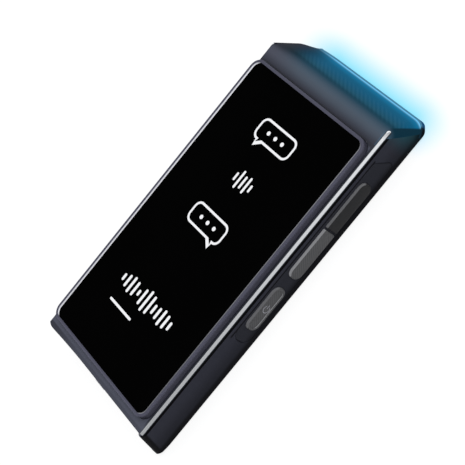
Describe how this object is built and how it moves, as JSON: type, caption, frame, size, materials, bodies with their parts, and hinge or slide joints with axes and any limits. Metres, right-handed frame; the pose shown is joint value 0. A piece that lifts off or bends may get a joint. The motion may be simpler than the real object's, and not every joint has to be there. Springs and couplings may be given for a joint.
{
  "type": "handheld translator",
  "caption": "Slim handheld voice translator with a raised glass screen, a slanted lit head, talk and power buttons on one side, a volume rocker and a card tray on the other.",
  "frame": {"origin": "centre of the bounding box at the flat back, which lies on the surface", "axes": "+Y towards the lit head, +Z out of the screen, +X out of the side with the talk buttons"},
  "size_m": [0.073, 0.1512, 0.0193],
  "materials": {
    "cover": "fine moulded texture, near black",
    "slate": "satin slate blue-grey lacquer",
    "black": "black edge",
    "lens": "smoked teal, lit from its lower end",
    "light": "frosted light guide, lit cyan",
    "chrome": "satin chrome",
    "bezel": "satin slate rim",
    "glass": "black cover glass, screen off",
    "panel": "fine matt black",
    "button": "satin dark grey",
    "lower_button": "dark grey with a fine diagonal texture",
    "board": "green solder mask",
    "part_black": "moulded black",
    "steel": "pressed steel",
    "pouch": "foil pouch",
    "tape": "adhesive tape",
    "flex": "amber flat cable",
    "card": "card with gold contacts",
    "window": "dark camera window",
    "flash": "frosted pale flash lens",
    "chip": "light emitting chips"
  },
  "bodies": {
    "root": {"rear_cover": "cover", "middle_frame": "black", "front_frame": "slate", "head_lens": "lens", "light_guide": "light", "light_board": "board", "light_chips": "chip", "trim_left": "chrome", "trim_right": "chrome", "screen_bezel": "bezel", "cover_glass": "glass", "glass_adhesive": "tape", "display_panel": "part_black", "button_panel": "panel", "key_board": "board", "key_switches": "steel", "rocker_pin": "steel", "volume_board": "board", "volume_switches": "steel", "sim_socket": "steel", "main_board": "board", "shield_cans": "steel", "case_screws": "steel", "battery": "pouch", "battery_pad": "tape", "loudspeaker": "part_black", "speaker_mesh": "tape", "usb_board": "board", "usb_socket": "steel", "main_flex": "flex", "display_flex": "flex", "microphones": "steel", "vibration_motor": "steel", "camera_module": "part_black", "camera_window": "window", "flash_lens": "flash"},
    "upper_talk": {"upper_talk_button": "button"},
    "lower_talk": {"lower_talk_button": "lower_button"},
    "power": {"power_button": "lower_button"},
    "volume": {"volume_rocker": "button"},
    "tray": {"sim_tray": "cover", "sim_card": "card"}
  },
  "joints": [
    {"name": "upper_talk_press", "type": "slide", "parent": "root", "child": "upper_talk", "axis": [-1, 0, 0], "range_m": [0, 0.0004], "stiffness_N_per_m": 1500},
    {"name": "lower_talk_press", "type": "slide", "parent": "root", "child": "lower_talk", "axis": [-1, 0, 0], "range_m": [0, 0.0004], "stiffness_N_per_m": 1500},
    {"name": "power_press", "type": "slide", "parent": "root", "child": "power", "axis": [-1, 0, 0], "range_m": [0, 0.0004], "stiffness_N_per_m": 1500},
    {"name": "volume_tilt", "type": "hinge", "parent": "root", "child": "volume", "pos_m": [-0.03212, -0.006, 0.007], "axis": [0, 0, 1], "range_deg": [-1.6, 1.6], "stiffness_Nm_per_rad": 0.2},
    {"name": "tray_slide", "type": "slide", "parent": "root", "child": "tray", "axis": [-1, 0, 0], "range_m": [0, 0.02]}
  ]
}
